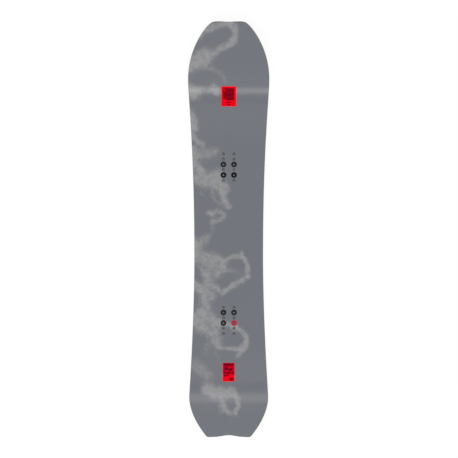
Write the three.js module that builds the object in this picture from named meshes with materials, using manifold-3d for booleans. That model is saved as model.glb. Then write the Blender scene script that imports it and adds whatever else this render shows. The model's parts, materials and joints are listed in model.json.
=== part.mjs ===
// A bare all-mountain snowboard: a wood core between glass layers, with a plastic base,
// steel edges, plastic sidewalls, nose and tail spacers, a topsheet and threaded inserts.
//
// Millimetres. X runs across the board, +Y towards the nose and +Z up, with the topsheet up.
// The origin is the centre of the footprint, on the ground that the board lies on.
//
// Every layer is one plan outline, drawn in by some distance, standing between two side
// profiles. All side profiles bend at the same stations, so the layers nest face to face.

import * as THREE from "three";
import { mergeVertices } from "three/addons/utils/BufferGeometryUtils.js";
import Module from "manifold-3d";

const wasm = await Module();
wasm.setup();

// ---- Plan outline, right half, nose to tail ----
const HALF_LENGTH = 786;
const NOSE_WIDEST = new THREE.Vector2(153.7, 568);
const WAIST = new THREE.Vector2(130.1, -100);
const TAIL_WIDEST = new THREE.Vector2(149.3, -631);
const NOSE_CORNER = new THREE.Vector2(63, 782.8);
const TAIL_CORNER = new THREE.Vector2(84.5, -783);
const NOSE_DIP = 1.5;
const TAIL_NOTCH = 7;

// ---- Side profile of the base's underside ----
const CONTACT_NOSE = [448, 472]; // the flat strip that touches the ground near the nose
const CONTACT_TAIL = [-548, -572];
const CAMBER = 6;
const NOSE_KICK = { radius: 340, angle: THREE.MathUtils.degToRad(12), steps: 5 };
const TAIL_KICK = { radius: 430, angle: THREE.MathUtils.degToRad(12), steps: 5 };
const PAST_THE_ENDS = 14; // how far the profiles run on past nose and tail

// ---- Binding inserts: two packs of six rows and two columns ----
const ROW_PITCH = 20;
const COLUMN_SPACING = 40;
const ROWS = 6;
const FRONT_PACK = 235; // y of the pack's centre
const REAR_PACK = -345;
const SEAT_HALF = 65; // half the length of the flat seat around a pack
const INSERT_SIDES = 8; // with corners on the diagonals, so a 4 mm square passes the bore
const BORE_RADIUS = 3.1;
const BARREL_RADIUS = 5;
const FLANGE_RADIUS = 8;
const FLANGE_THICKNESS = 1;
const INSERT_SUNK = 0.3; // how far an insert's top lies below the topsheet
const INSERT_FIT = 0.1; // clearance around an insert

// ---- Layers, measured up from the base's underside ----
const GLUE = 0.05; // the gap that stands for each glue line
const BASE_THICKNESS = 1.2;
const EDGE_WIDTH = 2;
const EDGE_HEIGHT = 2;
const FLANGE_REACH = 7.5; // how far in from the outline the edge's anchor flange ends
const FLANGE_TOP = 1.75;
const FOIL_THICKNESS = 0.25;
const GLASS_THICKNESS = 0.7;
const CORE_THICKNESS = 7.4;
const TIP_THICKNESS = 2.2;
const TOPSHEET_THICKNESS = 0.5;
const CORE_TAPER_NOSE = [325, 620]; // where the core thins, from full to tip thickness
const CORE_TAPER_TAIL = [-435, -700];

// ---- Core, sidewalls and spacers in plan ----
const SIDEWALL_WIDTH = 9;
const STRIP_WIDTH = 20;
const STRIPS = 13;
const CORE_END_RADIUS = 300;
const CORE_NOSE = 590;
const CORE_TAIL = -650;
const CORE_ARC_REACH = 170; // half the width of the arcs that end the core, past the outline
const RISER_WIDTH = 1; // where the bottom glass climbs from the base onto the edge's flange
const MID_GAP = 0.4; // between the left and right halves of the edges and foils, and at edge joints

// ---- Heights worked out from the layers ----
const FLANGE_BOTTOM = BASE_THICKNESS + GLUE;
const FOIL_BOTTOM = FLANGE_TOP + GLUE;
const RIM_BOTTOM = FOIL_BOTTOM + FOIL_THICKNESS + GLUE; // glass raised over edge and foil
const RIM_TOP = RIM_BOTTOM + GLASS_THICKNESS;
const FLOOR_TOP = FLANGE_BOTTOM + GLASS_THICKNESS; // glass lying on the base
const CORE_BOTTOM = FLOOR_TOP + GLUE;
const TOP_GLASS = GLUE; // measured up from the core's top
const TOPSHEET_BOTTOM = TOP_GLASS + GLASS_THICKNESS + GLUE;
const TOPSHEET_TOP = TOPSHEET_BOTTOM + TOPSHEET_THICKNESS;

// Cutters and profiles run on past the board in every direction.
const SKY = 120;
const PIT = -20;
const FAR = 1000;

const noseContact = (CONTACT_NOSE[0] + CONTACT_NOSE[1]) / 2;
const tailContact = (CONTACT_TAIL[0] + CONTACT_TAIL[1]) / 2;
const EDGE_LENGTHS = [
  ["nose", FAR, noseContact],
  ["front", noseContact, WAIST.y],
  ["rear", WAIST.y, tailContact],
  ["tail", tailContact, -FAR],
];

const finish = {
  base: new THREE.MeshStandardMaterial({ color: 0x1b1c1f, roughness: 0.45, metalness: 0 }),
  steel: new THREE.MeshStandardMaterial({ color: 0xb4b7ba, roughness: 0.3, metalness: 1 }),
  foil: new THREE.MeshStandardMaterial({ color: 0x151515, roughness: 0.9, metalness: 0 }),
  glass: new THREE.MeshStandardMaterial({ color: 0xc9cdb8, roughness: 0.35, metalness: 0 }),
  paleWood: new THREE.MeshStandardMaterial({ color: 0xd9b988, roughness: 0.65, metalness: 0 }),
  darkWood: new THREE.MeshStandardMaterial({ color: 0xb98b56, roughness: 0.65, metalness: 0 }),
  spacer: new THREE.MeshStandardMaterial({ color: 0x2c2d30, roughness: 0.55, metalness: 0 }),
  sidewall: new THREE.MeshStandardMaterial({ color: 0x202124, roughness: 0.5, metalness: 0 }),
  topsheet: new THREE.MeshStandardMaterial({ color: 0x73767c, roughness: 0.5, metalness: 0 }),
  insert: new THREE.MeshStandardMaterial({ color: 0xa9abae, roughness: 0.35, metalness: 1 }),
};

// ---- From geometry to solid and back ----

function solidOf(geometry) {
  const bare = new THREE.BufferGeometry();
  bare.setAttribute("position", geometry.getAttribute("position"));
  bare.setIndex(geometry.getIndex());
  const merged = mergeVertices(bare, 1e-4);
  return new wasm.Manifold(
    new wasm.Mesh({
      numProp: 3,
      vertProperties: merged.getAttribute("position").array,
      triVerts: new Uint32Array(merged.getIndex().array),
    }),
  );
}

function meshOf(name, solid, material) {
  const { vertProperties, triVerts } = solid.getMesh();
  const geometry = new THREE.BufferGeometry();
  geometry.setAttribute("position", new THREE.BufferAttribute(vertProperties, 3));
  geometry.setIndex(new THREE.BufferAttribute(triVerts, 1));
  geometry.computeVertexNormals();
  const mesh = new THREE.Mesh(geometry, material);
  mesh.name = name;
  return mesh;
}

function boxSolid(x0, x1, y0, y1, z0, z1) {
  const geometry = new THREE.BoxGeometry(x1 - x0, y1 - y0, z1 - z0);
  geometry.translate((x0 + x1) / 2, (y0 + y1) / 2, (z0 + z1) / 2);
  return solidOf(geometry);
}

// ---- Side profiles ----

// How high a kick's arc, and the straight run after it, has risen at a distance past its start.
function kickRise({ radius, angle }, distance) {
  const arcLength = radius * Math.sin(angle);
  if (distance <= arcLength) {
    return radius - Math.sqrt(radius ** 2 - distance ** 2);
  }
  return radius * (1 - Math.cos(angle)) + (distance - arcLength) * Math.tan(angle);
}

// The height of the base's underside above the ground.
function rideHeight(y) {
  if (y > CONTACT_NOSE[1]) return kickRise(NOSE_KICK, y - CONTACT_NOSE[1]);
  if (y < CONTACT_TAIL[1]) return kickRise(TAIL_KICK, CONTACT_TAIL[1] - y);
  const middle = (CONTACT_NOSE[0] + CONTACT_TAIL[0]) / 2;
  const along = Math.min(1, Math.abs(y - middle) / (CONTACT_NOSE[0] - middle));
  return CAMBER * (1 - along ** 2) ** 2;
}

// The core's thickness, full around the inserts and thin towards the tips.
function coreThickness(y) {
  const [full, thin] = y > 0 ? CORE_TAPER_NOSE : CORE_TAPER_TAIL;
  const taper = THREE.MathUtils.smoothstep(Math.abs(y), Math.abs(full), Math.abs(thin));
  return THREE.MathUtils.lerp(CORE_THICKNESS, TIP_THICKNESS, taper);
}

function evenly(from, to, steps) {
  return Array.from({ length: steps + 1 }, (_, i) => THREE.MathUtils.lerp(from, to, i / steps));
}

// Stations from nose to tail. No station falls inside a binding seat, so the seats are flat.
const noseKickEnd = CONTACT_NOSE[1] + NOSE_KICK.radius * Math.sin(NOSE_KICK.angle);
const tailKickEnd = CONTACT_TAIL[1] - TAIL_KICK.radius * Math.sin(TAIL_KICK.angle);
const stations = [
  HALF_LENGTH + PAST_THE_ENDS,
  CORE_TAPER_NOSE[1],
  ...evenly(noseKickEnd, CONTACT_NOSE[1], NOSE_KICK.steps),
  ...evenly(CONTACT_NOSE[0], FRONT_PACK + SEAT_HALF, 2),
  ...evenly(FRONT_PACK - SEAT_HALF, REAR_PACK + SEAT_HALF, 4),
  ...evenly(REAR_PACK - SEAT_HALF, CONTACT_TAIL[0], 2),
  ...evenly(CONTACT_TAIL[1], tailKickEnd, TAIL_KICK.steps),
  CORE_TAPER_TAIL[1],
  -HALF_LENGTH - PAST_THE_ENDS,
];

// A height above the base's underside, or above the core's top, as a function of y.
const aboveBase = (offset) => (y) => rideHeight(y) + offset;
const aboveCore = (offset) => (y) => rideHeight(y) + CORE_BOTTOM + coreThickness(y) + offset;

// The solid between two side profiles, right across the board.
function band(lower, upper) {
  const side = new THREE.Shape([
    ...stations.map((y) => new THREE.Vector2(y, lower(y))),
    ...[...stations].reverse().map((y) => new THREE.Vector2(y, upper(y))),
  ]);
  const geometry = new THREE.ExtrudeGeometry(side, { depth: 2 * FAR, bevelEnabled: false });
  geometry.translate(0, 0, -FAR);
  const yzx = new THREE.Matrix4().makeBasis(
    new THREE.Vector3(0, 1, 0),
    new THREE.Vector3(0, 0, 1),
    new THREE.Vector3(1, 0, 0),
  );
  return solidOf(geometry.applyMatrix4(yzx));
}

// ---- Plan outlines ----

function bezier(start, handle1, handle2, end) {
  const at = (p) => (p.isVector2 ? p : new THREE.Vector2(...p));
  return new THREE.CubicBezierCurve(at(start), at(handle1), at(handle2), at(end));
}

// The right half of the outline, clockwise from the middle of the nose, with steps per curve.
const halfOutline = [
  { steps: 4, curve: bezier([0, HALF_LENGTH - NOSE_DIP], [24, 784.5], [46, 789], NOSE_CORNER) },
  { steps: 9, curve: bezier(NOSE_CORNER, [81, 775.4], [153.7, 692], NOSE_WIDEST) },
  { steps: 8, curve: bezier(NOSE_WIDEST, [153.7, 494], [130.1, 305], WAIST) },
  { steps: 7, curve: bezier(WAIST, [130.1, -348], [149.3, -617], TAIL_WIDEST) },
  { steps: 7, curve: bezier(TAIL_WIDEST, [149.3, -643], [152, -701], TAIL_CORNER) },
  { steps: 3, curve: bezier(TAIL_CORNER, [79.3, -788.2], [64, -785.4], [57, -785.4]) },
  { steps: 4, curve: bezier([57, -785.4], [34, -785.4], [18, -779], [0, TAIL_NOTCH - HALF_LENGTH]) },
];

// A point of a curve, moved in from the outline by the inset.
function insetPoint(curve, t, inset) {
  const tangent = curve.getTangent(t);
  const inward = new THREE.Vector2(tangent.y, -tangent.x);
  return curve.getPoint(t).addScaledVector(inward, inset);
}

// The whole outline, drawn in by the inset, standing as a tall prism.
function prism(inset) {
  const right = halfOutline.flatMap(({ curve, steps }) =>
    Array.from({ length: steps }, (_, i) => insetPoint(curve, i / steps, inset)),
  );
  const tailMiddle = insetPoint(halfOutline.at(-1).curve, 1, inset);
  const left = right.slice(1).reverse().map((p) => new THREE.Vector2(-p.x, p.y));
  return upright(new THREE.Shape([...right, tailMiddle, ...left]));
}

function upright(shape) {
  const geometry = new THREE.ExtrudeGeometry(shape, { depth: SKY - PIT, bevelEnabled: false });
  return solidOf(geometry.translate(0, 0, PIT));
}

// The strip of plan between two insets.
const ring = (outer, inner) => prism(outer).subtract(prism(inner));

// The plan between the rounded ends of the core, with each end moved out by a gap.
function coreLength(gap) {
  const radius = CORE_END_RADIUS + gap;
  const reach = Math.asin(CORE_ARC_REACH / radius);
  const shape = new THREE.Shape();
  shape.absarc(0, CORE_NOSE - CORE_END_RADIUS, radius, Math.PI / 2 - reach, Math.PI / 2 + reach);
  shape.absarc(0, CORE_TAIL + CORE_END_RADIUS, radius, -Math.PI / 2 - reach, -Math.PI / 2 + reach);
  return upright(shape);
}

const rightHalf = boxSolid(MID_GAP / 2, FAR, -FAR, FAR, PIT, SKY);

// ---- Inserts ----

const lathe = (profile) =>
  new THREE.LatheGeometry(
    profile.map(([radius, height]) => new THREE.Vector2(radius, height)),
    INSERT_SIDES,
  ).rotateX(Math.PI / 2);

const insertHeight = CORE_THICKNESS + TOPSHEET_TOP - INSERT_SUNK;

// A threaded insert, standing on the origin: a round flange and a barrel with a bore through both.
const insertGeometry = lathe([
  [BORE_RADIUS, 0],
  [FLANGE_RADIUS, 0],
  [FLANGE_RADIUS, FLANGE_THICKNESS],
  [BARREL_RADIUS, FLANGE_THICKNESS],
  [BARREL_RADIUS, insertHeight],
  [BORE_RADIUS, insertHeight],
  [BORE_RADIUS, 0],
]);

// The room that an insert takes out of the layers around it.
const pocketGeometry = lathe([
  [0, -INSERT_FIT],
  [FLANGE_RADIUS + INSERT_FIT, -INSERT_FIT],
  [FLANGE_RADIUS + INSERT_FIT, FLANGE_THICKNESS + GLUE],
  [BARREL_RADIUS + INSERT_FIT, FLANGE_THICKNESS + GLUE],
  [BARREL_RADIUS + INSERT_FIT, 2 * insertHeight],
  [0, 2 * insertHeight],
]);

// Where each insert of a pack stands, square to the pack's seat.
function packPlaces(packName, packY) {
  const [front, back] = [packY + SEAT_HALF, packY - SEAT_HALF];
  const slope = (rideHeight(front) - rideHeight(back)) / (front - back);
  return Array.from({ length: 2 * ROWS }, (_, i) => {
    const row = Math.floor(i / 2);
    const x = (i % 2 ? 1 : -1) * COLUMN_SPACING / 2;
    const y = packY + ((ROWS - 1) / 2 - row) * ROW_PITCH;
    const z = rideHeight(back) + slope * (y - back) + CORE_BOTTOM;
    const place = new THREE.Object3D();
    place.position.set(x, y, z);
    place.rotation.x = Math.atan(slope);
    place.updateMatrix();
    return { name: `insert_${packName}_${i + 1}`, place };
  });
}

const insertPlaces = [...packPlaces("front", FRONT_PACK), ...packPlaces("rear", REAR_PACK)];

function makeInserts() {
  return insertPlaces.map(({ name, place }) => {
    const insert = new THREE.Mesh(insertGeometry, finish.insert);
    insert.name = name;
    insert.position.copy(place.position);
    insert.rotation.copy(place.rotation);
    return insert;
  });
}

// A layer with the pockets of all inserts cut out.
function pierced(layer) {
  return insertPlaces.reduce(
    (solid, { place }) => solid.subtract(solidOf(pocketGeometry.clone().applyMatrix4(place.matrix))),
    layer,
  );
}

// ---- Layers ----

// A right and a left mesh from the right-hand solid.
function pair(name, right, material) {
  return [
    meshOf(`${name}_right`, right, material),
    meshOf(`${name}_left`, right.mirror([1, 0, 0]), material),
  ];
}

function makeBase() {
  const solid = prism(EDGE_WIDTH + GLUE).intersect(band(aboveBase(0), aboveBase(BASE_THICKNESS)));
  return meshOf("base_sheet", solid, finish.base);
}

// Steel edges: a square rail around the base, with a thin anchor flange reaching in over it.
// Each side is laid in four lengths, which meet at the contact points and the waist.
function makeEdges() {
  const rail = ring(0, EDGE_WIDTH).intersect(band(aboveBase(0), aboveBase(EDGE_HEIGHT)));
  const flange = ring(EDGE_WIDTH / 2, FLANGE_REACH)
    .intersect(band(aboveBase(FLANGE_BOTTOM), aboveBase(FLANGE_TOP)));
  const edge = rail.add(flange).intersect(rightHalf);
  return EDGE_LENGTHS.flatMap(([name, from, to]) => {
    const span = boxSolid(0, FAR, to + MID_GAP / 2, from - MID_GAP / 2, PIT, SKY);
    return pair(`steel_edge_${name}`, edge.intersect(span), finish.steel);
  });
}

// Rubber damping strips on the edges' flanges.
function makeFoils() {
  const top = FOIL_BOTTOM + FOIL_THICKNESS;
  const strip = ring(EDGE_WIDTH + GLUE, FLANGE_REACH)
    .intersect(band(aboveBase(FOIL_BOTTOM), aboveBase(top)));
  return pair("edge_foil", strip.intersect(rightHalf), finish.foil);
}

// Bottom glass: flat on the base, then up and over the edges' flanges.
function makeBottomGlass() {
  const block = prism(0).intersect(band(aboveBase(FLANGE_BOTTOM), aboveBase(RIM_TOP)));
  const underRim = ring(-RISER_WIDTH, SIDEWALL_WIDTH - RISER_WIDTH)
    .intersect(band(aboveBase(0), aboveBase(RIM_BOTTOM)));
  const underCore = prism(SIDEWALL_WIDTH).intersect(band(aboveBase(FLOOR_TOP), () => SKY));
  return meshOf("bottom_glass", block.subtract(underRim).subtract(underCore), finish.glass);
}

function makeSidewalls() {
  const wall = ring(0, SIDEWALL_WIDTH)
    .intersect(coreLength(0))
    .intersect(band(aboveBase(RIM_TOP + GLUE), aboveCore(0)))
    .intersect(rightHalf);
  return pair("sidewall", wall, finish.sidewall);
}

// The wood core: upright strips glued side by side, the outermost running to the sidewalls.
function makeCoreStrips() {
  const whole = prism(SIDEWALL_WIDTH + GLUE)
    .intersect(coreLength(0))
    .intersect(band(aboveBase(CORE_BOTTOM), aboveCore(0)));
  const core = pierced(whole);
  return Array.from({ length: STRIPS }, (_, i) => {
    const middle = (i - (STRIPS - 1) / 2) * STRIP_WIDTH;
    const outermost = i === 0 || i === STRIPS - 1;
    const reach = outermost ? NOSE_WIDEST.x : STRIP_WIDTH / 2 - GLUE / 2;
    const left = i === 0 ? -reach : middle - STRIP_WIDTH / 2 + GLUE / 2;
    const right = i === STRIPS - 1 ? reach : middle + STRIP_WIDTH / 2 - GLUE / 2;
    const strip = core.intersect(boxSolid(left, right, -FAR, FAR, PIT, SKY));
    return meshOf(`core_strip_${i + 1}`, strip, i % 2 ? finish.darkWood : finish.paleWood);
  });
}

// Plastic spacers that take the core's place at nose and tail.
function makeSpacers() {
  const over = prism(0).intersect(band(aboveBase(RIM_TOP + GLUE), aboveCore(0)));
  const inside = prism(SIDEWALL_WIDTH + GLUE).intersect(band(aboveBase(CORE_BOTTOM), aboveCore(0)));
  const tips = over.add(inside).subtract(coreLength(GLUE));
  const noseHalf = boxSolid(-FAR, FAR, 0, FAR, PIT, SKY);
  return [
    meshOf("nose_spacer", tips.intersect(noseHalf), finish.spacer),
    meshOf("tail_spacer", tips.subtract(noseHalf), finish.spacer),
  ];
}

function makeTopGlass() {
  const sheet = prism(0).intersect(band(aboveCore(TOP_GLASS), aboveCore(TOP_GLASS + GLASS_THICKNESS)));
  return meshOf("top_glass", pierced(sheet), finish.glass);
}

function makeTopsheet() {
  const sheet = prism(0).intersect(band(aboveCore(TOPSHEET_BOTTOM), aboveCore(TOPSHEET_TOP)));
  return meshOf("topsheet", pierced(sheet), finish.topsheet);
}

const snowboard = new THREE.Group();
snowboard.add(
  makeBase(),
  ...makeEdges(),
  ...makeFoils(),
  makeBottomGlass(),
  ...makeSidewalls(),
  ...makeCoreStrips(),
  ...makeSpacers(),
  makeTopGlass(),
  makeTopsheet(),
  ...makeInserts(),
);

export default snowboard;
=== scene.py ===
"""The looks of a bare snowboard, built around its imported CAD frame.

Metres. X runs across the board, +Y towards the nose and +Z up, with the topsheet up.
The outline and the side profile repeat the CAD part's driving dimensions as smooth curves.
"""

import json
import math
from itertools import pairwise

import bmesh
import bpy
import numpy as np
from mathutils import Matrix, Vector, noise


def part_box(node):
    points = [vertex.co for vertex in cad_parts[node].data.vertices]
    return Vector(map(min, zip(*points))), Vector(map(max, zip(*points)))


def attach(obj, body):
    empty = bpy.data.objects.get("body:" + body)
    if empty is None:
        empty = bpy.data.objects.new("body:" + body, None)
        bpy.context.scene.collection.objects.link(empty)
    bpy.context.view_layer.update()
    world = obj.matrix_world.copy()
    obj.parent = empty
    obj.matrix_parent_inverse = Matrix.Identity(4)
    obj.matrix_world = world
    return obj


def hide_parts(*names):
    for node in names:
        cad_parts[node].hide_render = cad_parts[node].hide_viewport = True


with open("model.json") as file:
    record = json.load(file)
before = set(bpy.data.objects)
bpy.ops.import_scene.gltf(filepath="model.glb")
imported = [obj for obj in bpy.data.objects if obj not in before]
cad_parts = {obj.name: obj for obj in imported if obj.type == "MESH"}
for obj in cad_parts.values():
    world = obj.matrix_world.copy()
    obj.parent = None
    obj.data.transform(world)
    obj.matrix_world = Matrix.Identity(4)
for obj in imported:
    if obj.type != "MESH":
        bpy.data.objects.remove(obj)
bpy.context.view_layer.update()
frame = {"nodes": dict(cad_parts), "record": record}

MM = 0.001

# ---- Plan outline, right half, nose to tail: cubic curves, in millimetres ----
NOSE_TIP_CURVES = [((0, 784.5), (24, 784.5), (46, 789), (63, 782.8))]
SIDE_CURVES = [
    ((63, 782.8), (81, 775.4), (153.7, 692), (153.7, 568)),
    ((153.7, 568), (153.7, 494), (130.1, 305), (130.1, -100)),
    ((130.1, -100), (130.1, -348), (149.3, -617), (149.3, -631)),
    ((149.3, -631), (149.3, -643), (152, -701), (84.5, -783)),
]
TAIL_TIP_CURVES = [
    ((84.5, -783), (79.3, -788.2), (64, -785.4), (57, -785.4)),
    ((57, -785.4), (34, -785.4), (18, -779), (0, -779)),
]

# ---- Side profile ----
CONTACT_NOSE = (448 * MM, 472 * MM)
CONTACT_TAIL = (-548 * MM, -572 * MM)
CAMBER = 6 * MM
NOSE_KICK = (340 * MM, math.radians(12))  # radius and final angle
TAIL_KICK = (430 * MM, math.radians(12))
CORE_TAPER_NOSE = (325 * MM, 620 * MM)
CORE_TAPER_TAIL = (-435 * MM, -700 * MM)

# ---- Layers, measured up from the base's underside ----
GLUE = 0.05 * MM
BASE_THICKNESS = 1.2 * MM
EDGE_WIDTH = 2 * MM
EDGE_HEIGHT = 2 * MM
FLANGE_REACH = 7.5 * MM
FLANGE_BOTTOM = BASE_THICKNESS + GLUE
FLANGE_TOP = 1.75 * MM
GLASS_THICKNESS = 0.7 * MM
FLOOR_TOP = FLANGE_BOTTOM + GLASS_THICKNESS
RIM_BOTTOM = 2.1 * MM
RIM_TOP = RIM_BOTTOM + GLASS_THICKNESS
CORE_BOTTOM = FLOOR_TOP + GLUE
CORE_THICKNESS = 7.4 * MM
TIP_THICKNESS = 2.2 * MM
TOPSHEET_BOTTOM = GLASS_THICKNESS + 2 * GLUE  # from here on, measured up from the core's top
TOPSHEET_TOP = TOPSHEET_BOTTOM + 0.5 * MM

# ---- Plan of core, sidewalls and tip fills ----
SIDEWALL_WIDTH = 9 * MM
CORE_END_RADIUS = 300 * MM
CORE_NOSE = 590 * MM
CORE_TAIL = -650 * MM
MID_GAP = 0.4 * MM

# ---- Rim: how far each layer's edge stands in from the outline ----
TOPSHEET_INSET = 1.1 * MM
TOPSHEET_CHAMFER = 0.15 * MM
LAMINATE_INSET = 0.95 * MM
WALL_FOOT_INSET = 0.1 * MM

# ---- Inserts and printed rings ----
INSERT_HEIGHT = 8.4 * MM
INSERT_SUNK = 0.3 * MM
FLANGE_RADIUS = 8 * MM
FLANGE_THICKNESS = 1 * MM
BARREL_RADIUS = 5 * MM
HOLE_RADIUS = 5.1 * MM
THREAD_MAJOR = 3.0 * MM
THREAD_DEPTH = 0.55 * MM
THREAD_PITCH = 1.0 * MM
COUNTERSINK_RADIUS = 3.4 * MM
BEVEL = 0.2 * MM
RINGED_INSERTS = {"front": (5, 6, 9, 10), "rear": (3, 4, 7, 8)}
ACCENT_INSERT = ("rear", 8)
RING_RADIUS = 11 * MM
PRINT_TOP = 0.04 * MM  # how far a print stands above the topsheet, and how deep it is bedded
PRINT_DEPTH = 0.06 * MM

# ---- Labels: centre y, width and length ----
LABELS = {"front": (503 * MM, 56 * MM, 76 * MM), "rear": (-541 * MM, 45 * MM, 71 * MM)}
# What is printed on them: boxes of darker ground, each (centre x, centre y, width, length), and
# blocks of cells, each (its box, a cell's width and length, the share of its cells that are dark).
# Millimetres from the label's centre.
LABEL_GROUND = {"front": [], "rear": [(0, 12, 45, 47)]}
LABEL_BLOCKS = {
    "front": [
        ((0, 8, 41, 47), (5.1, 4.9), 0.97),
        ((0, -22, 26, 4), (3.6, 4), 0.9),
        ((0, -31, 11, 4), (3.6, 4), 1),
    ],
    "rear": [
        ((0, 29, 38, 9), (5.4, 4.6), 0.9),
        ((0, 12, 38, 20), (7.6, 3.3), 0.5),
        ((0, -4, 36, 7), (4.6, 3.5), 0.7),
        ((-9, -13, 18, 7), (4.5, 3.5), 0.85),
        ((10, -26, 15, 12), (3.8, 4), 0.95),
    ],
}
GUTTER = 0.13  # the share of a printed cell that stays bare
LABEL_COLUMNS, LABEL_ROWS = 12, 16  # of its mesh

# ---- Fineness of the meshes ----
RIM_STEP = 6 * MM
COLUMNS = 48
TIP_FADE = 30 * MM  # how far a tip's own line is felt in the rows behind it
ARC_FADE = 80 * MM
ROUND_SIDES = 40
SHARP_ANGLE = math.radians(35)

# ---- Smoke print, in millimetres on the board: half-width, strength and the line it drifts along ----
SMOKE = [
    # a loop over the nose, with a thick foot
    (14, 0.75, [(-112, 732), (-92, 753), (-50, 768), (-10, 778), (18, 768), (26, 742), (18, 716)]),
    (11, 0.80, [(18, 716), (4, 703), (-30, 685), (-72, 660)]),
    (29, 0.95, [(-88, 652), (-118, 635), (-150, 622)]),
    (9, 0.35, [(-88, 614), (-55, 603), (-25, 585), (-14, 555)]),
    # two puffs and a thin veil beside the front label
    (15, 0.85, [(-58, 535), (-45, 520)]),
    (12, 0.40, [(-105, 530), (-75, 528)]),
    (25, 0.95, [(-150, 525), (-130, 516)]),
    (18, 0.90, [(-150, 440), (-137, 410), (-132, 385)]),
    # a drift down the left edge to the front inserts
    (12, 0.75, [(-142, 352), (-122, 338), (-104, 322)]),
    (16, 0.90, [(-142, 300), (-138, 255)]),
    (22, 0.62, [(-112, 285), (-60, 290)]),
    (14, 0.80, [(-135, 245), (-108, 222)]),
    (30, 0.82, [(-108, 195), (-75, 185)]),
    (20, 0.82, [(-45, 203), (-38, 172), (-16, 150)]),
    (13, 0.85, [(-26, 145), (-16, 108), (-5, 88)]),
    (8, 0.45, [(-62, 140), (-54, 108), (-38, 94)]),
    (6, 0.40, [(-105, 135), (-102, 131)]),
    (12, 0.70, [(-74, 62), (-67, 54)]),
    (8, 0.72, [(-68, 64), (-40, 70), (-13, 54), (-32, 37), (-62, 28)]),
    (7, 0.30, [(-60, 20), (-62, -5), (-74, -27)]),
    # a broad bank between the packs, with a ring on its right
    (17, 0.60, [(-90, -36), (-112, -62)]),
    (18, 0.95, [(-135, -45), (-131, -108)]),
    (21, 0.70, [(-102, -102), (-62, -112)]),
    (25, 0.58, [(-84, -140), (-45, -126)]),
    (19, 0.50, [(-72, -178), (-42, -172)]),
    (9, 0.72, [(-45, -110), (-20, -115), (10, -105), (40, -103), (48, -92)]),
    (10, 0.80, [(48, -104), (66, -120), (72, -150), (75, -178), (50, -195), (15, -212)]),
    (10, 0.80, [(15, -212), (-5, -228), (-25, -238), (-48, -222), (-82, -205)]),
    (11, 0.60, [(-25, -122), (-21, -150), (-40, -166)]),
    (7, 0.30, [(-12, -156), (18, -155)]),
    (12, 0.60, [(-97, -165), (-80, -190)]),
    (14, 0.85, [(-132, -210), (-108, -226)]),
    (20, 0.65, [(-98, -232), (-70, -250)]),
    (21, 0.66, [(-90, -270), (-80, -320)]),
    (21, 0.85, [(-104, -318), (-124, -342)]),
    (11, 0.70, [(-62, -334), (-36, -350)]),
    (20, 0.22, [(0, -145), (38, -170)]),
    # a bank beside the rear inserts, with a second ring
    (16, 0.85, [(-130, -346), (-96, -364)]),
    (29, 0.54, [(-98, -372), (-54, -366)]),
    (20, 0.72, [(-62, -396), (-46, -428)]),
    (9, 0.70, [(-30, -360), (0, -357), (25, -370)]),
    (9, 0.80, [(25, -370), (55, -388), (70, -415), (70, -440), (58, -455), (35, -478)]),
    (7, 0.45, [(12, -366), (20, -386)]),
    (8, 0.55, [(64, -430), (42, -448)]),
    (8, 0.78, [(-38, -443), (0, -453), (50, -453)]),
    (14, 0.32, [(-85, -440), (-85, -472)]),
    (12, 0.22, [(-50, -470), (-40, -486)]),
    (24, 0.48, [(-128, -512), (-112, -522), (-85, -548)]),
    # a last puff and a small ring at the tail
    (25, 0.92, [(-76, -606), (-52, -618)]),
    (19, 0.88, [(-46, -622), (8, -618)]),
    (10, 0.82, [(12, -620), (37, -640), (38, -670), (22, -697), (4, -697), (-15, -680), (-25, -655)]),
    (9, 0.40, [(-32, -662), (-30, -690)]),
    (5, 0.40, [(28, -706), (32, -710)]),
]
SMOKE_SWIRL = 7 * MM  # how far the print is stirred about
SMOKE_SWIRL_SIZE = 30 * MM

# ---- Colours, as linear values ----
SHEET_GREY = (0.1440, 0.1535, 0.1760, 1)
SMOKE_GREY = (0.286, 0.286, 0.290, 1)
PALE_WOOD = [(0.62, 0.43, 0.23, 1), (0.44, 0.27, 0.12, 1)]  # spring and summer growth
DARK_WOOD = [(0.40, 0.22, 0.09, 1), (0.24, 0.12, 0.045, 1)]
INK_BLACK = (0.010, 0.010, 0.011, 1)
INK_RED = (0.45, 0.012, 0.046, 1)
LABEL_RED = (1.0, 0.000, 0.006, 1)
LABEL_WORN_RED = (0.85, 0.000, 0.008, 1)
LABEL_DARK_RED = (0.60, 0.000, 0.010, 1)
LABEL_INK = (0.020, 0.000, 0.008, 1)
PLASTIC_BLACK = (0.016, 0.017, 0.019, 1)
BASE_BLACK = (0.012, 0.012, 0.013, 1)
BASE_SPECK = (0.040, 0.040, 0.043, 1)
STEEL = (0.52, 0.53, 0.54, 1)
THREAD_STEEL = (0.45, 0.45, 0.46, 1)
# Black oxide on the inserts' outside, made darker as painted shade for the gap round each insert
OXIDE_AND_SHADE_BLACK = (0.020, 0.020, 0.021, 1)
GLASS_PALE = (0.52, 0.54, 0.44, 1)
GLASS_DEEP = (0.36, 0.38, 0.29, 1)
RUBBER_BLACK = (0.012, 0.012, 0.012, 1)
RUBBER_WORN = (0.030, 0.030, 0.030, 1)
FLOOR_GREY = (0.12, 0.12, 0.12, 1)

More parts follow.
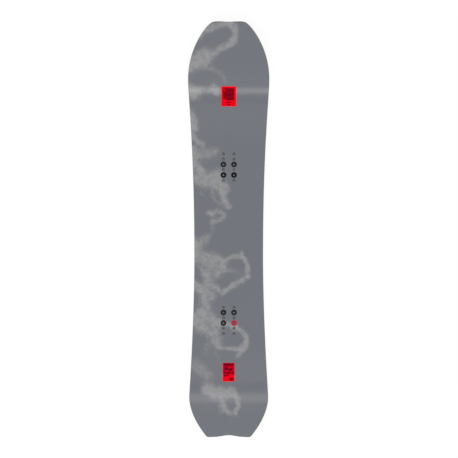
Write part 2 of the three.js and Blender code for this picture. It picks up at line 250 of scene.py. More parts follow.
# ---- Noises on the surfaces: scale, detail and roughness ----
PUFFS = (60, 7, 0.62)
WISPS = (230, 5, 0.6)
MOTTLE = (300, 3)
SATIN = (180, 3)
PEBBLE = (2600, 2)
INK_DEPTH = (700, 3)
LABEL_WEAR = (900, 2)
LABEL_SATIN = (500, 3)
MILLING = (2200, 3)
PLASTIC_TONE = (60, 4)
RESIN_SPECKS = (1500, 2)
GROUND_STRUCTURE = (1800, 2)
STEEL_MARKS = (1600, 4, 0.65)
PORES = (1400, 3)
PITS = (1900, 3)
GROWTH_RINGS = {"Scale": 90, "Distortion": 7, "Detail": 3, "Detail Scale": 1.2}
FIBRES = {"Scale": 260, "Distortion": 0.6}

# ---- How a noise is used: its low and high value, and what they become if not 0 and 1 ----
PUFF_THICKNESS = (0.32, 0.68, 0.6, 1.2)
SMOKE_EDGE = (0.04, 0.3)
INK_MOTTLE = (0.35, 0.75, 0, 0.5)
PLASTIC_MOTTLE = (0.3, 0.75, 0, 0.6)
SPECK_EDGE = (0.6, 0.72)
STEEL_MOTTLE = (0.35, 0.75)
USUAL_NOISE = (0.3, 0.7)  # where most of a noise's values lie
WISP_STRENGTH = 0.6
MOTTLE_STRENGTH = 0.06
PORE_SHARE = 0.35  # how much pores and growth rings each darken the wood
RING_SHARE = 0.75

# ---- Roughness: least and most ----
SHEET_ROUGHNESS = (0.155, 0.185)
INK_ROUGHNESS = (0.42, 0.55)
LABEL_ROUGHNESS = (0.4, 0.5)
TIP_ROUGHNESS = (0.44, 0.58)
WALL_ROUGHNESS = (0.36, 0.50)
BASE_ROUGHNESS = (0.36, 0.48)
EDGE_ROUGHNESS = (0.22, 0.40)
INSERT_ROUGHNESS = (0.3, 0.45)
WOOD_ROUGHNESS = (0.55, 0.75)
RUBBER_ROUGHNESS = (0.8, 0.95)
GLASS_ROUGHNESS = (0.5, 0.3)  # between the bundles, and on them
FLOOR_ROUGHNESS = 0.9

# ---- Gloss of the inks and of the resin over the glass ----
INK_SPECULAR = 0.15
LABEL_SPECULAR = 0.02
RESIN_COAT = 0.3

# ---- Depth of the fine relief ----
PEBBLE_DEPTH = 0.006 * MM
MILLING_DEPTH = 0.02 * MM
STRUCTURE_DEPTH = 0.03 * MM
EDGE_MARK_DEPTH = 0.01 * MM
INSERT_MARK_DEPTH = 0.02 * MM
WEAVE_DEPTH = 0.05 * MM
PORE_DEPTH = 0.04 * MM
PIT_DEPTH = 0.03 * MM

# ---- Studio ----
FRAME_WIDTH = 1734 * MM  # what the picture takes in
FRAME_CENTRE = (1.1 * MM, 0.9 * MM)
LENS_MM = 800
SENSOR_MM = 36
WORLD_STRENGTH = 0.86
FLOOR_GLOW = 0.90  # the floor lights itself, so that no shadow darkens it much
FLOOR_RADIUS = 400
FLOOR_SIDES = 96
NEAR_CLIP = 1
# Lamps: where each stands, where it aims, its width and length, and its power. The first two are
# high and far along the board, so that only the curves up into nose and tail mirror them.
LAMPS = {
    "nose_lamp": ((0, -3.6, 16), (0, 0.51, 0), (1.6, 2.3), 46),
    "tail_lamp": ((0, 3.6, 16), (0, -0.63, 0), (1.6, 3.2), 39),
    "key_lamp": ((-4, -3.5, 5), (0, 0, 0), (3, 3), 70),
}


# ---- Side profile and layers ----

def smoothstep(y, start, end):
    t = np.clip((y - start) / (end - start), 0, 1)
    return t * t * (3 - 2 * t)


def kick_rise(kick, distance):
    """The rise of an upturned end: an arc, and then a straight run."""
    radius, angle = kick
    arc_length = radius * math.sin(angle)
    on_arc = np.clip(distance, 0, arc_length)
    past_arc = np.maximum(distance - arc_length, 0)
    return radius - np.sqrt(radius**2 - on_arc**2) + past_arc * math.tan(angle)


def ride_height(y):
    """The height of the base's underside above the ground."""
    middle = (CONTACT_NOSE[0] + CONTACT_TAIL[0]) / 2
    along = np.minimum(np.abs(y - middle) / (CONTACT_NOSE[0] - middle), 1)
    camber = CAMBER * (1 - along**2) ** 2
    kicks = kick_rise(NOSE_KICK, y - CONTACT_NOSE[1]) + kick_rise(TAIL_KICK, CONTACT_TAIL[1] - y)
    return camber + kicks


def core_thickness(y):
    taper = smoothstep(y, *CORE_TAPER_NOSE) + smoothstep(y, *CORE_TAPER_TAIL)
    return CORE_THICKNESS + (TIP_THICKNESS - CORE_THICKNESS) * taper


def above_base(offset):
    return lambda y: ride_height(y) + offset


def above_core(offset):
    return lambda y: ride_height(y) + CORE_BOTTOM + core_thickness(y) + offset


# ---- Plan ----

def inset_points(curves, inset, step):
    """Points along cubic curves, moved in from the outline by the inset."""
    points = []
    for number, corners in enumerate(curves):
        start, handle1, handle2, end = (np.array(c) * MM for c in corners)
        steps = math.ceil(np.linalg.norm(end - start) / step)
        last = number == len(curves) - 1
        for t in np.arange(steps + last) / steps:
            s = 1 - t
            point = s**3 * start + 3 * s * s * t * handle1 + 3 * s * t * t * handle2 + t**3 * end
            along = s * s * (handle1 - start) + 2 * s * t * (handle2 - handle1) + t * t * (end - handle2)
            along /= np.linalg.norm(along)
            points.append(point + inset * np.array([along[1], -along[0]]))
    return np.array(points)


class Tip:
    """One end of the board: the rows of a sheet run up to its own line."""

    fade = TIP_FADE

    def __init__(self, curves):
        self.curves = curves

    def line(self, inset):
        points = inset_points(self.curves, inset, RIM_STEP / 4)
        points = points[np.argsort(points[:, 0])]
        return lambda x: np.interp(x, points[:, 0], points[:, 1])

    def trim(self, rim, *_):
        """A tip keeps the whole rim."""
        return rim


class CoreEnd:
    """The rounded end of the core, moved out by a gap: way is 1 at the nose and -1 at the tail."""

    fade = ARC_FADE

    def __init__(self, way, gap):
        apex = CORE_NOSE if way > 0 else CORE_TAIL
        self.way, self.radius = way, CORE_END_RADIUS + gap
        self.middle = apex - way * CORE_END_RADIUS

    def line(self, _inset):
        return lambda x: self.middle + self.way * np.sqrt(self.radius**2 - np.square(x))

    def crossing(self, rim):
        """Where the rim crosses the arc."""
        off = np.hypot(rim[:, 0], rim[:, 1] - self.middle) - self.radius
        off = np.where((rim[:, 1] - self.middle) * self.way > 0, off, -self.radius)
        i = np.flatnonzero(np.diff(off > 0))[0]
        return rim[i] + (rim[i + 1] - rim[i]) * off[i] / (off[i] - off[i + 1])

    def trim(self, rim, nominal_rim, end):
        """The rim cut off at the arc, at its first or last end, with as many points for any inset."""
        cross_y = self.crossing(nominal_rim)[1]
        clear = 2 * RIM_STEP
        if end == "first":
            keep = nominal_rim[:, 1] < cross_y - clear
            return np.vstack([self.crossing(rim), rim[keep]])
        keep = nominal_rim[:, 1] > cross_y + clear
        return np.vstack([rim[keep], self.crossing(rim)])


NOSE_TIP, TAIL_TIP = Tip(NOSE_TIP_CURVES), Tip(TAIL_TIP_CURVES)


def plan_rows(inset, nose_end, tail_end):
    """Plan points in rows from nose to tail, each row from the left rim to the right rim."""
    rim, nominal = (inset_points(SIDE_CURVES, depth, RIM_STEP) for depth in (inset, 0))
    rim = nose_end.trim(rim, nominal, "first")
    rim = tail_end.trim(rim, nominal[-len(rim):], "last")
    across = np.linspace(-1, 1, COLUMNS + 1)
    x = rim[:, :1] * across
    y = np.repeat(rim[:, 1:], COLUMNS + 1, axis=1)
    length = rim[0, 1] - rim[-1, 1]
    for end, corner in ((nose_end, rim[0]), (tail_end, rim[-1])):
        bow = end.line(inset)(np.abs(across) * corner[0]) - corner[1]
        away = np.abs(rim[:, 1:] - corner[1])
        y = y + bow * np.exp(-away / end.fade) * (1 - away / length)
    return np.stack([x, y], axis=-1)


def raised(plan, height):
    """Plan points, stood at the height that goes with their y."""
    return np.concatenate([plan, height(plan[..., 1:])], axis=-1)


# ---- Meshes ----

def mesh_of(name, vertices, faces):
    """A closed mesh with its faces turned outward."""
    mesh = bpy.data.meshes.new(name)
    mesh.from_pydata([tuple(v) for v in vertices], [], faces)
    work = bmesh.new()
    work.from_mesh(mesh)
    bmesh.ops.recalc_face_normals(work, faces=work.faces)
    work.to_mesh(mesh)
    work.free()
    return mesh


def piece_of(name, mesh, material, replaced=()):
    """A visible piece that rides on the board and stands for the CAD nodes it replaces."""
    piece = bpy.data.objects.new(name, mesh)
    bpy.context.scene.collection.objects.link(piece)
    if not mesh.materials:
        mesh.materials.append(material)
        smooth(mesh)
    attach(piece, "root")
    if replaced:
        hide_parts(*replaced)
    return piece


def smooth(mesh):
    mesh.shade_smooth()
    mesh.set_sharp_from_angle(angle=SHARP_ANGLE)


def grid_faces(rows, columns):
    """The numbers of the vertices round a grid's rim, and of those round each of its quads."""
    number = np.arange(rows * columns).reshape(rows, columns)
    rim = np.concatenate([number[0, :-1], number[:-1, -1], number[-1, :0:-1], number[:0:-1, 0]])
    quads = np.stack([number[:-1, :-1], number[:-1, 1:], number[1:, 1:], number[1:, :-1]], axis=-1)
    return rim, quads.reshape(-1, 4)


def band_faces(loop, next_loop):
    """Quads between two loops of vertices, each closed on itself."""
    return [
        (a, b, d, c)
        for (a, b), (c, d) in zip(pairwise([*loop, loop[0]]), pairwise([*next_loop, next_loop[0]]))
    ]


def slab(name, levels, nose_end=NOSE_TIP, tail_end=TAIL_TIP):
    """A closed sheet. Its levels, each (inset, height), go round its rim from top to underside."""
    grids = [plan_rows(inset, nose_end, tail_end) for inset, _ in levels]
    rim, quads = grid_faces(*grids[0].shape[:2])
    vertices, faces, loops = [], [], []
    for level, (grid, (_, height)) in enumerate(zip(grids, levels)):
        points = raised(grid, height).reshape(-1, 3)
        start = len(vertices)
        if level in (0, len(levels) - 1):
            vertices.extend(points)
            faces.extend((quads + start).tolist())
            loops.append((rim + start).tolist())
        else:
            vertices.extend(points[rim])
            loops.append(list(range(start, start + len(rim))))
    for loop, next_loop in pairwise(loops):
        faces.extend(band_faces(loop, next_loop))
    return mesh_of(name, vertices, faces)


def rail(name, profile, side, nose_end=NOSE_TIP, tail_end=TAIL_TIP):
    """A closed profile of (inset, height) carried along one side of the rim, and half of its tips."""
    lines = []
    for inset, height in profile:
        grid = plan_rows(inset, nose_end, tail_end)
        middle = COLUMNS // 2
        line = grid[:, -1]
        if nose_end is NOSE_TIP:
            line = np.concatenate([grid[0, middle:-1], line])
        if tail_end is TAIL_TIP:
            line = np.concatenate([line, grid[-1, -2:middle - 1:-1]])
        line[:, 0] = np.maximum(line[:, 0], MID_GAP / 2)
        lines.append(raised(line, height) * (side, 1, 1))
    count = len(lines[0])
    loops = [[station + count * corner for corner in range(len(profile))] for station in range(count)]
    faces = [tuple(loops[0]), tuple(loops[-1])]
    for loop, next_loop in pairwise(loops):
        faces.extend(band_faces(loop, next_loop))
    return mesh_of(name, np.concatenate(lines), faces)


def turned(name, rings):
    """A closed solid through rings of points round the Z axis, the last ring joined to the first."""
    loops = [list(range(i * ROUND_SIDES, (i + 1) * ROUND_SIDES)) for i in range(len(rings))]
    faces = [face for a, b in pairwise([*loops, loops[0]]) for face in band_faces(a, b)]
    return mesh_of(name, np.concatenate(rings), faces)


ANGLES = np.arange(ROUND_SIDES) * 2 * math.pi / ROUND_SIDES


def ring_points(radius, height):
    """Points round the Z axis, their radius one number or one for each angle."""
    x, y = radius * np.cos(ANGLES), radius * np.sin(ANGLES)
    return np.stack([x, y, np.full(ROUND_SIDES, height)], axis=-1)


# ---- Node helpers ----

def new_material(name):
    material = bpy.data.materials.new(name)
    material.use_nodes = True
    tree = material.node_tree
    return material, tree, tree.nodes["Principled BSDF"]


def add(tree, kind, inputs, **settings):
    """A node with its settings made, and its inputs set to values or linked to sockets."""
    node = tree.nodes.new(kind)
    for key, value in settings.items():
        setattr(node, key, value)
    for key, value in inputs.items():
        feed(tree, node.inputs[key], value)
    return node


def feed(tree, socket, value):
    if isinstance(value, bpy.types.NodeSocket):
        tree.links.new(value, socket)
    else:
        socket.default_value = value


def calc(tree, operation, a, b=0.0, c=0.0):
    return add(tree, "ShaderNodeMath", {0: a, 1: b, 2: c}, operation=operation).outputs[0]


def blend(tree, factor, first, second):
    node = add(tree, "ShaderNodeMix", {0: factor, 6: first, 7: second}, data_type="RGBA")
    return node.outputs[2]


def spread(tree, value, low, high, to_low=0.0, to_high=1.0):
    """A value moved from one range to another, held within it."""
    inputs = {0: value, 1: low, 2: high, 3: to_low, 4: to_high}
    return add(tree, "ShaderNodeMapRange", inputs, interpolation_type="SMOOTHSTEP").outputs[0]


def place(tree, along=1, up=1):
    """Positions on the piece. Below 1, along draws a pattern out in Y, and up in Z."""
    here = add(tree, "ShaderNodeTexCoord", {}).outputs["Object"]
    stretch = (1, along, up)
    return add(tree, "ShaderNodeVectorMath", {0: here, 1: stretch}, operation="MULTIPLY").outputs[0]


def grain(tree, where, scale, detail=4.0, roughness=0.55):
    inputs = {"Vector": where, "Scale": scale, "Detail": detail, "Roughness": roughness}
    return add(tree, "ShaderNodeTexNoise", inputs).outputs[0]


def ruffle(tree, value, pattern, strength):
    """A value moved up and down by a noise."""
    return calc(tree, "MULTIPLY_ADD", calc(tree, "SUBTRACT", pattern, 0.5), strength, value)


def bump(tree, shader, height, distance):
    node = add(tree, "ShaderNodeBump", {"Height": height, "Distance": distance, "Strength": 1.0})
    tree.links.new(node.outputs[0], shader.inputs["Normal"])


def pebble(tree, shader):
    """The fine pebbling of the topsheet, which shows through what is printed on it."""
    bump(tree, shader, grain(tree, place(tree), *PEBBLE), PEBBLE_DEPTH)


def roughen(tree, shader, pattern, roughness):
    """Roughness between its least and its most, following a noise."""
    shade(tree, shader, Roughness=spread(tree, pattern, *USUAL_NOISE, *roughness))


def scaled(colour, factor, lift=0.0):
    return tuple(min(1, factor * c + lift) for c in colour[:3]) + (1,)


def shade(tree, shader, **values):
    for key, value in values.items():
        feed(tree, shader.inputs[key.replace("_", " ")], value)


# ---- Materials ----

def topsheet_material():
    """Satin grey sheet with a pale smoke print, faintly mottled and finely pebbled."""
    material, tree, shader = new_material("topsheet")
    here = place(tree)
    smoke = add(tree, "ShaderNodeAttribute", {}, attribute_name="smoke").outputs["Fac"]
    puffs = spread(tree, grain(tree, here, *PUFFS), *PUFF_THICKNESS)
    wisps = grain(tree, place(tree, along=0.7), *WISPS)
    stirred = ruffle(tree, calc(tree, "MULTIPLY", smoke, puffs), wisps, WISP_STRENGTH)
    amount = calc(tree, "MULTIPLY", spread(tree, stirred, 0, 1), spread(tree, smoke, *SMOKE_EDGE))
    amount = ruffle(tree, amount, grain(tree, here, *MOTTLE), MOTTLE_STRENGTH)
    amount = calc(tree, "MAXIMUM", amount, 0)
    shade(tree, shader, Base_Color=blend(tree, amount, SHEET_GREY, SMOKE_GREY))
    roughen(tree, shader, grain(tree, here, *SATIN), SHEET_ROUGHNESS)
    pebble(tree, shader)
    return material


def ink_material(name, colour):
    """Flat screen ink, slightly uneven in depth."""
    material, tree, shader = new_material(name)
    depth = grain(tree, place(tree), *INK_DEPTH)
    lighter = scaled(colour, 1.5, 0.004)
    shade(tree, shader, Base_Color=blend(tree, spread(tree, depth, *INK_MOTTLE), colour, lighter))
    shade(tree, shader, Specular_IOR_Level=INK_SPECULAR)
    roughen(tree, shader, depth, INK_ROUGHNESS)
    pebble(tree, shader)
    return material


def in_box(tree, x, y, box):
    """1 inside a box (centre x, centre y, width, length) in millimetres, otherwise 0."""
    centre_x, centre_y, width, length = (side * MM for side in box)
    off_x = calc(tree, "ABSOLUTE", calc(tree, "SUBTRACT", x, centre_x))
    off_y = calc(tree, "ABSOLUTE", calc(tree, "SUBTRACT", y, centre_y))
    inside_x = calc(tree, "LESS_THAN", off_x, width / 2)
    return calc(tree, "MULTIPLY", inside_x, calc(tree, "LESS_THAN", off_y, length / 2))


def label_material(name, ground_boxes, blocks):
    """A red label with darker ground in some boxes, and blocks of chance dark cells that say nothing."""
    material, tree, shader = new_material(name)
    parts = add(tree, "ShaderNodeSeparateXYZ", {0: place(tree)}).outputs
    x, y = parts[0], parts[1]
    colour = blend(tree, grain(tree, place(tree), *LABEL_WEAR), LABEL_RED, LABEL_WORN_RED)
    for box in ground_boxes:
        colour = blend(tree, in_box(tree, x, y, box), colour, LABEL_DARK_RED)
    for box, cell, share in blocks:
        at = [calc(tree, "DIVIDE", along, size * MM) for along, size in zip((x, y), cell)]
        number = add(tree, "ShaderNodeCombineXYZ", {i: calc(tree, "FLOOR", at[i]) for i in (0, 1)})
        chance = add(tree, "ShaderNodeTexWhiteNoise", {0: number.outputs[0]}).outputs[0]
        dark = calc(tree, "MULTIPLY", calc(tree, "LESS_THAN", chance, share), in_box(tree, x, y, box))
        for steps in at:
            printed = calc(tree, "LESS_THAN", calc(tree, "FRACT", steps), 1 - GUTTER)
            dark = calc(tree, "MULTIPLY", dark, printed)
        colour = blend(tree, dark, colour, LABEL_INK)
    shade(tree, shader, Base_Color=colour, Specular_IOR_Level=LABEL_SPECULAR)
    roughen(tree, shader, grain(tree, place(tree), *LABEL_SATIN), LABEL_ROUGHNESS)
    pebble(tree, shader)
    return material


def plastic_material(name, roughness):
    """Milled black plastic, with fine marks along the board."""
    material, tree, shader = new_material(name)
    marks = grain(tree, place(tree, along=0.04), *MILLING)
    tone = spread(tree, grain(tree, place(tree), *PLASTIC_TONE), *PLASTIC_MOTTLE)
    shade(tree, shader, Base_Color=blend(tree, tone, PLASTIC_BLACK, scaled(PLASTIC_BLACK, 1.8)))
    roughen(tree, shader, marks, roughness)
    bump(tree, shader, marks, MILLING_DEPTH)
    return material


def base_material():
    """Sintered black base: specks of resin, and a fine ground structure from nose to tail."""
    material, tree, shader = new_material("base")
    specks = spread(tree, grain(tree, place(tree), *RESIN_SPECKS), *SPECK_EDGE)
    structure = grain(tree, place(tree, along=0.015), *GROUND_STRUCTURE)
    shade(tree, shader, Base_Color=blend(tree, specks, BASE_BLACK, BASE_SPECK))
    roughen(tree, shader, structure, BASE_ROUGHNESS)
    bump(tree, shader, structure, STRUCTURE_DEPTH)
    return material


def edge_material():
    """Ground steel, its marks drawn out along the board."""
    material, tree, shader = new_material("edge_steel")
    marks = grain(tree, place(tree, along=0.03), *STEEL_MARKS)
    dull = blend(tree, spread(tree, marks, *STEEL_MOTTLE), STEEL, scaled(STEEL, 0.7))
    shade(tree, shader, Base_Color=dull, Metallic=1.0)
    roughen(tree, shader, marks, EDGE_ROUGHNESS)
    bump(tree, shader, marks, EDGE_MARK_DEPTH)
    return material


def insert_material():
    """An insert: blackened outside, its black also painted shade for the gap round it in the topsheet,
    with its tapped bore left bare and bright.
    """
    material, tree, shader = new_material("insert_steel")
    radius = add(tree, "ShaderNodeVectorMath", {0: place(tree, up=0)}, operation="LENGTH").outputs[1]
    outside = calc(tree, "GREATER_THAN", radius, COUNTERSINK_RADIUS - GLUE)
    marks = grain(tree, place(tree), *STEEL_MARKS)
    # The outside is black oxide and painted shade for the gap round the insert; the bore is bare steel
    shade(tree, shader, Base_Color=blend(tree, outside, THREAD_STEEL, OXIDE_AND_SHADE_BLACK), Metallic=1.0)
    roughen(tree, shader, marks, INSERT_ROUGHNESS)
    bump(tree, shader, marks, INSERT_MARK_DEPTH)
    return material


def waves(tree, where, pattern, direction):
    """Bands across a direction, from 0 to 1."""
    inputs = {"Vector": where, **pattern}
    return add(tree, "ShaderNodeTexWave", inputs, bands_direction=direction).outputs[1]


def glass_material():
    """Glass-fibre laminate: bundles crossing at forty-five degrees under clear resin."""
    material, tree, shader = new_material("glass_laminate")
    turn = {"Vector": place(tree), "Axis": (0, 0, 1), "Angle": math.radians(45)}
    turned_place = add(tree, "ShaderNodeVectorRotate", turn, rotation_type="AXIS_ANGLE").outputs[0]
    bundles = [waves(tree, turned_place, FIBRES, direction) for direction in ("X", "Y")]
    weave = calc(tree, "MAXIMUM", *bundles)
    shade(tree, shader, Base_Color=blend(tree, weave, GLASS_DEEP, GLASS_PALE), Coat_Weight=RESIN_COAT)
    shade(tree, shader, Roughness=spread(tree, weave, 0, 1, *GLASS_ROUGHNESS))
    bump(tree, shader, weave, WEAVE_DEPTH)
    return material


def wood_material(name, early, late):
    """Planed core wood: growth rings drawn out along the strip, with fine pores."""
    material, tree, shader = new_material(name)
    rings = waves(tree, place(tree, along=0.05), GROWTH_RINGS, "X")
    pores = grain(tree, place(tree, along=0.03), *PORES)
    tone = calc(tree, "MULTIPLY_ADD", pores, PORE_SHARE, calc(tree, "MULTIPLY", rings, RING_SHARE))
    shade(tree, shader, Base_Color=blend(tree, tone, early, late))
    roughen(tree, shader, pores, WOOD_ROUGHNESS)
    bump(tree, shader, pores, PORE_DEPTH)
    return material


def rubber_material():
    """Matt damping rubber, finely pitted."""
    material, tree, shader = new_material("edge_foil")
    pits = grain(tree, place(tree), *PITS)
    shade(tree, shader, Base_Color=blend(tree, pits, RUBBER_BLACK, RUBBER_WORN))
    roughen(tree, shader, pits, RUBBER_ROUGHNESS)
    bump(tree, shader, pits, PIT_DEPTH)
    return material


# ---- Layers ----

def segment_distance(points, start, end):
    along = end - start
    t = np.clip(((points - start) @ along) / (along @ along), 0, 1)
    return np.linalg.norm(points - start - t[:, None] * along, axis=1)


def smoke_at(points):
    """How thick the smoke print is at plan points, from 0 to 1."""
    swirl = [noise.noise_vector(Vector((x, y, 0)) / SMOKE_SWIRL_SIZE)[:2] for x, y in points]
    points = points + SMOKE_SWIRL * np.array(swirl)
    clear = np.ones(len(points))
    for half_width, strength, line in SMOKE:
        line = np.array(line) * MM
        away = np.min([segment_distance(points, a, b) for a, b in pairwise(line)], axis=0)
        clear *= 1 - strength / (1 + (away / (half_width * MM)) ** 4)
    return 1 - clear


def paint_smoke(mesh):
    """Stores the smoke's thickness on the mesh's vertices, for the topsheet's material to read."""
    places = np.empty(3 * len(mesh.vertices))
    mesh.vertices.foreach_get("co", places)
    amount = mesh.attributes.new("smoke", "FLOAT", "POINT")
    amount.data.foreach_set("value", smoke_at(places.reshape(-1, 3)[:, :2]))


def seat_axis(pack):
    """The direction square to the seat under a pack of inserts."""
    mounts = {mount["name"]: mount for mount in frame["record"]["mounts"]}
    return Vector(mounts[f"{pack}_binding_seat"]["axis"])


def number_of(node):
    """The number at the end of a node's name."""
    return int(node.rsplit("_", 1)[1])


def insert_places():
    """For each insert: its pack, its number, its centre and its axis."""
    for pack in RINGED_INSERTS:
        axis = seat_axis(pack)
        nodes = [node for node in frame["nodes"] if node.startswith(f"insert_{pack}_")]
        for number in sorted(map(number_of, nodes)):
            low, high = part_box(f"insert_{pack}_{number}")
            yield pack, number, (Vector(low) + Vector(high)) / 2, axis


def hole_cutter():
    """One tool that cuts the hole over every insert."""
    reach = 2 * INSERT_HEIGHT
    tool = bmesh.new()
    for _, _, centre, axis in insert_places():
        turn = Vector((0, 0, 1)).rotation_difference(axis).to_matrix().to_4x4()
        turn.translation = centre
        bmesh.ops.create_cone(
            tool,
            cap_ends=True,
            segments=ROUND_SIDES,
            radius1=HOLE_RADIUS,
            radius2=HOLE_RADIUS,
            depth=reach,
            matrix=turn,
        )
    mesh = bpy.data.meshes.new("hole_cutter")
    tool.to_mesh(mesh)
    tool.free()
    cutter = bpy.data.objects.new("hole_cutter", mesh)
    bpy.context.scene.collection.objects.link(cutter)
    return cutter


def pierce(pieces):
    """Cuts the insert holes through each piece."""
    cutter = hole_cutter()
    for piece in pieces:
        cut = piece.modifiers.new("holes", "BOOLEAN")
        cut.operation, cut.solver, cut.object = "DIFFERENCE", "EXACT", cutter
        graph = bpy.context.evaluated_depsgraph_get()
        shape = bpy.data.meshes.new_from_object(piece.evaluated_get(graph))
        piece.modifiers.clear()
        piece.data = shape
        smooth(shape)
    bpy.data.objects.remove(cutter)


def wall_levels(top_inset):
    """The slightly raked outer face of sidewalls and tip fills."""
    return [(top_inset, above_core(0)), (WALL_FOOT_INSET, above_base(RIM_TOP + GLUE))]


def make_layers(glass):
    topsheet = slab("topsheet_skin", [
        (TOPSHEET_INSET + TOPSHEET_CHAMFER, above_core(TOPSHEET_TOP)),
        (TOPSHEET_INSET, above_core(TOPSHEET_TOP - TOPSHEET_CHAMFER)),
        (TOPSHEET_INSET, above_core(TOPSHEET_BOTTOM)),
    ])
    laminate = slab("top_laminate", [
        (LAMINATE_INSET, above_core(GLUE + GLASS_THICKNESS)),
        (LAMINATE_INSET, above_core(GLUE)),
    ])
    skin = piece_of("topsheet_skin", topsheet, topsheet_material(), ["topsheet"])
    sheet = piece_of("top_laminate", laminate, glass, ["top_glass"])
    pierce([skin, sheet])
    paint_smoke(skin.data)

    tray = slab("bottom_laminate", [
        (SIDEWALL_WIDTH, above_base(FLOOR_TOP)),
        (SIDEWALL_WIDTH, above_base(RIM_TOP)),
        (WALL_FOOT_INSET, above_base(RIM_TOP)),
        (WALL_FOOT_INSET, above_base(RIM_BOTTOM)),
        (SIDEWALL_WIDTH - MM, above_base(RIM_BOTTOM)),
        (SIDEWALL_WIDTH - MM, above_base(FLANGE_BOTTOM)),
    ])
    piece_of("bottom_laminate", tray, glass, ["bottom_glass"])

    base = slab("running_base", [
        (EDGE_WIDTH + GLUE, above_base(BASE_THICKNESS)),
        (EDGE_WIDTH + GLUE, above_base(BEVEL)),
        (EDGE_WIDTH + GLUE + BEVEL, above_base(0)),
    ])
    piece_of("running_base", base, base_material(), ["base_sheet"])


def make_tip_fills():
    plastic = plastic_material("tip_spacer", TIP_ROUGHNESS)
    ends = {
        "nose": (NOSE_TIP, CoreEnd(1, GLUE)),
        "tail": (CoreEnd(-1, GLUE), TAIL_TIP),
    }
    for name, (nose_end, tail_end) in ends.items():
        fill = slab(f"{name}_fill", wall_levels(LAMINATE_INSET), nose_end, tail_end)
        piece_of(f"{name}_fill", fill, plastic, [f"{name}_spacer"])


def make_rails():
    """The sidewalls and the steel edges, right and left."""
    wall_plastic = plastic_material("sidewall", WALL_ROUGHNESS)
    ground_steel = edge_material()
    wall = [
        *wall_levels(LAMINATE_INSET),
        (SIDEWALL_WIDTH, above_base(RIM_TOP + GLUE)),
        (SIDEWALL_WIDTH, above_core(0)),
    ]
    edge = [
        (BEVEL, above_base(0)),
        (EDGE_WIDTH, above_base(0)),
        (EDGE_WIDTH, above_base(FLANGE_BOTTOM)),
        (FLANGE_REACH, above_base(FLANGE_BOTTOM)),
        (FLANGE_REACH, above_base(FLANGE_TOP)),
        (EDGE_WIDTH, above_base(FLANGE_TOP)),
        (EDGE_WIDTH, above_base(EDGE_HEIGHT)),
        (BEVEL, above_base(EDGE_HEIGHT)),
        (0, above_base(EDGE_HEIGHT - BEVEL)),
        (0, above_base(BEVEL)),
    ]
    for side, way in (("right", 1), ("left", -1)):
        strip = rail(f"sidewall_strip_{side}", wall, way, CoreEnd(1, 0), CoreEnd(-1, 0))
        piece_of(strip.name, strip, wall_plastic, [f"sidewall_{side}"])
        steel = rail(f"edge_rail_{side}", edge, way)
        lengths = [f"steel_edge_{length}_{side}" for length in ("nose", "front", "rear", "tail")]
        piece_of(steel.name, steel, ground_steel, lengths)


# ---- Inserts and prints ----

def thread_radius(height):
    """The bore's radius all round at one height, along a helical thread."""
    turn = (height / THREAD_PITCH - ANGLES / (2 * math.pi)) % 1
    return THREAD_MAJOR - THREAD_DEPTH * np.abs(2 * turn - 1)


def insert_mesh():
    """A threaded insert round its own centre: a flange, a barrel and a threaded bore."""
    top, bottom = INSERT_HEIGHT / 2, -INSERT_HEIGHT / 2
    outside = [
        (COUNTERSINK_RADIUS, bottom),
        (FLANGE_RADIUS - BEVEL, bottom),
        (FLANGE_RADIUS, bottom + BEVEL),
        (FLANGE_RADIUS, bottom + FLANGE_THICKNESS),
        (BARREL_RADIUS, bottom + FLANGE_THICKNESS),
        (BARREL_RADIUS, top - BEVEL),
        (BARREL_RADIUS - BEVEL, top),
        (COUNTERSINK_RADIUS, top),
    ]
    lead_in = THREAD_PITCH / 2
    rows = np.arange(top - lead_in, bottom + lead_in, -THREAD_PITCH / 4)
    rings = [ring_points(radius, height) for radius, height in outside]
    rings += [ring_points(thread_radius(height), height) for height in rows]
    return turned("threaded_insert", rings)


def ring_mesh():
    """A flat printed ring round the origin, bedded in the topsheet."""
    rounding = PRINT_TOP / 2
    inner = HOLE_RADIUS + rounding
    section = [
        (inner, -PRINT_DEPTH),
        (inner, PRINT_TOP - rounding),
        (inner + rounding, PRINT_TOP),
        (RING_RADIUS - rounding, PRINT_TOP),
        (RING_RADIUS, PRINT_TOP - rounding),
        (RING_RADIUS, -PRINT_DEPTH),
    ]
    return turned("printed_ring", [ring_points(radius, height) for radius, height in section])


def stand(piece, at, axis):
    """Puts a piece at a place, with its Z along an axis."""
    piece.location = at
    piece.rotation_mode = "QUATERNION"
    piece.rotation_quaternion = Vector((0, 0, 1)).rotation_difference(axis)


def make_inserts():
    steel = insert_material()
    inks = {False: ink_material("ring_black", INK_BLACK), True: ink_material("ring_red", INK_RED)}
    shared, printed = insert_mesh(), {accent: ring_mesh() for accent in inks}
    for pack, number, centre, axis in insert_places():
        name = f"threaded_insert_{pack}_{number}"
        insert = piece_of(name, shared, steel, [f"insert_{pack}_{number}"])
        stand(insert, centre, axis)
        if number in RINGED_INSERTS[pack]:
            accent = (pack, number) == ACCENT_INSERT
            ring = piece_of(f"ring_{pack}_{number}", printed[accent], inks[accent])
            stand(ring, centre + axis * (INSERT_HEIGHT / 2 + INSERT_SUNK), axis)


def label_mesh(name, centre_y, width, length):
    """A thin rectangle that follows the topsheet, round its own centre."""
    across = np.linspace(-0.5, 0.5, LABEL_COLUMNS + 1) * width
    along = np.linspace(0.5, -0.5, LABEL_ROWS + 1) * length
    x, y = np.meshgrid(across, along)
    rim, quads = grid_faces(*x.shape)
    surface = above_core(TOPSHEET_TOP)(y + centre_y)
    sheets = [np.stack([x, y, surface + off], axis=-1) for off in (PRINT_TOP, -PRINT_DEPTH)]
    faces = np.concatenate([quads, quads + x.size]).tolist()
    faces += band_faces(rim.tolist(), (rim + x.size).tolist())
    return mesh_of(name, np.concatenate(sheets).reshape(-1, 3), faces)


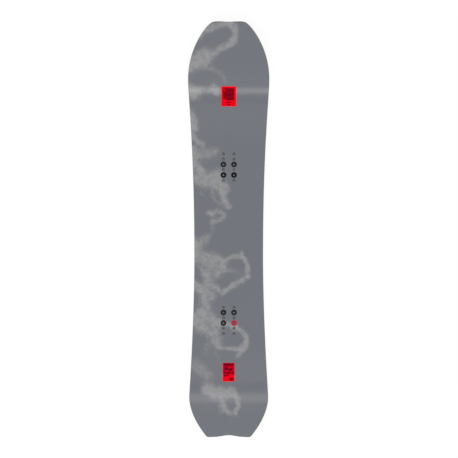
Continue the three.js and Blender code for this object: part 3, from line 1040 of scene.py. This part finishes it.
def make_labels():
    for end, (centre_y, width, length) in LABELS.items():
        material = label_material(f"label_{end}", LABEL_GROUND[end], LABEL_BLOCKS[end])
        mesh = label_mesh(f"label_{end}", centre_y, width, length)
        label = piece_of(mesh.name, mesh, material)
        label.location.y = centre_y


# ---- Kept CAD nodes ----

def dress_cad_nodes():
    """Gives the core strips and the damping foils their own materials."""
    woods = [wood_material("core_pale", *PALE_WOOD), wood_material("core_dark", *DARK_WOOD)]
    rubber = rubber_material()
    for name in frame["nodes"]:
        if name.startswith("core_strip_"):
            dress(name, woods[(number_of(name) + 1) % 2])
        elif name.startswith("edge_foil_"):
            dress(name, rubber)


def dress(node, material):
    """Gives a CAD node one material all over."""
    for slot in bpy.data.objects[node].material_slots:
        slot.material = material


# ---- Studio ----

def make_floor():
    material, tree, shader = new_material("floor")
    shade(tree, shader, Base_Color=FLOOR_GREY, Roughness=FLOOR_ROUGHNESS, Specular_IOR_Level=0.0)
    shade(tree, shader, Emission_Color=(1, 1, 1, 1), Emission_Strength=FLOOR_GLOW)
    tool = bmesh.new()
    bmesh.ops.create_circle(tool, cap_ends=True, segments=FLOOR_SIDES, radius=FLOOR_RADIUS)
    mesh = bpy.data.meshes.new("floor")
    tool.to_mesh(mesh)
    tool.free()
    mesh.materials.append(material)
    floor = bpy.data.objects.new("floor", mesh)
    bpy.context.scene.collection.objects.link(floor)


def make_lamp(name, at, aim, size, power):
    data = bpy.data.lights.new(name, "AREA")
    data.shape, data.size, data.size_y, data.energy = "RECTANGLE", *size, power
    lamp = bpy.data.objects.new(name, data)
    lamp.location = at
    lamp.rotation_mode = "QUATERNION"
    lamp.rotation_quaternion = (Vector(aim) - Vector(at)).to_track_quat("-Z", "Y")
    lamp.visible_camera = False
    bpy.context.scene.collection.objects.link(lamp)


def make_lights():
    """An even white room, a soft key lamp, and the two lamps that nose and tail mirror."""
    world = bpy.data.worlds.new("room")
    world.use_nodes = True
    background = world.node_tree.nodes["Background"]
    background.inputs["Color"].default_value = (1, 1, 1, 1)
    background.inputs["Strength"].default_value = WORLD_STRENGTH
    bpy.context.scene.world = world
    for name, (at, aim, size, power) in LAMPS.items():
        make_lamp(name, at, aim, size, power)


def make_camera():
    data = bpy.data.cameras.new("camera")
    data.lens, data.sensor_width = LENS_MM, SENSOR_MM
    distance = FRAME_WIDTH * LENS_MM / SENSOR_MM
    data.clip_start, data.clip_end = NEAR_CLIP, 2 * distance
    camera = bpy.data.objects.new("camera", data)
    camera.location = (*FRAME_CENTRE, distance)
    bpy.context.scene.collection.objects.link(camera)
    bpy.context.scene.camera = camera
    bpy.context.scene.view_settings.view_transform = "Standard"


make_camera()
make_lights()
make_floor()
make_layers(glass_material())
make_tip_fills()
make_rails()
make_inserts()
make_labels()
dress_cad_nodes()
